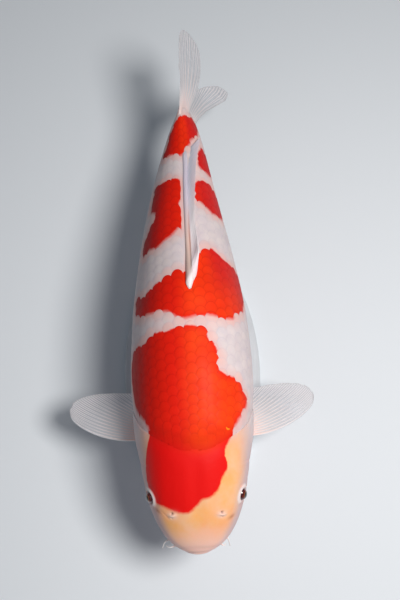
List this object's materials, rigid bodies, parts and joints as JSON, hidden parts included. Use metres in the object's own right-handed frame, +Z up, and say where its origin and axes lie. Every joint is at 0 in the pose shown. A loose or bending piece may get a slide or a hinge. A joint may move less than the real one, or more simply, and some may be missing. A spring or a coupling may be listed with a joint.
{
  "type": "koi carp model on a display stand",
  "caption": "Life-size still model of a white and red koi carp, swimming with its side fins spread, on a plain oval stand with short rods.",
  "frame": {"origin": "middle of the underside of the stand's base, below the fish's centre of weight", "axes": "+Z up, +Y from the snout to the tail, +X to the fish's left side"},
  "size_m": [0.2765, 0.6026, 0.2115],
  "materials": {
    "skin": "white scaled skin with red patches, wet gloss",
    "head_skin": "bare red and cream head skin, wet gloss",
    "fins": "thin whitish membrane on pale rays, satin",
    "barbels": "soft pale skin",
    "eyes": "dark pupil in a pale iris, polished",
    "stand_base": "satin pale grey paint",
    "stand_rods": "brushed"
  },
  "bodies": {
    "root": {"head": "head_skin", "gill_cover_left": "head_skin", "gill_cover_right": "head_skin", "trunk_front": "skin", "trunk_middle": "skin", "trunk_rear": "skin", "tail_stalk": "skin", "dorsal_fin": "fins", "anal_fin": "fins", "pectoral_fin_left": "fins", "pectoral_fin_right": "fins", "pelvic_fin_left": "fins", "pelvic_fin_right": "fins", "caudal_fin_upper": "fins", "caudal_fin_lower": "fins", "eye_left": "eyes", "eye_right": "eyes", "barbel_upper_left": "barbels", "barbel_upper_right": "barbels", "barbel_lower_left": "barbels", "barbel_lower_right": "barbels", "stand_base": "stand_base", "stand_rod_front": "stand_rods", "stand_rod_rear": "stand_rods"}
  },
  "joints": []
}
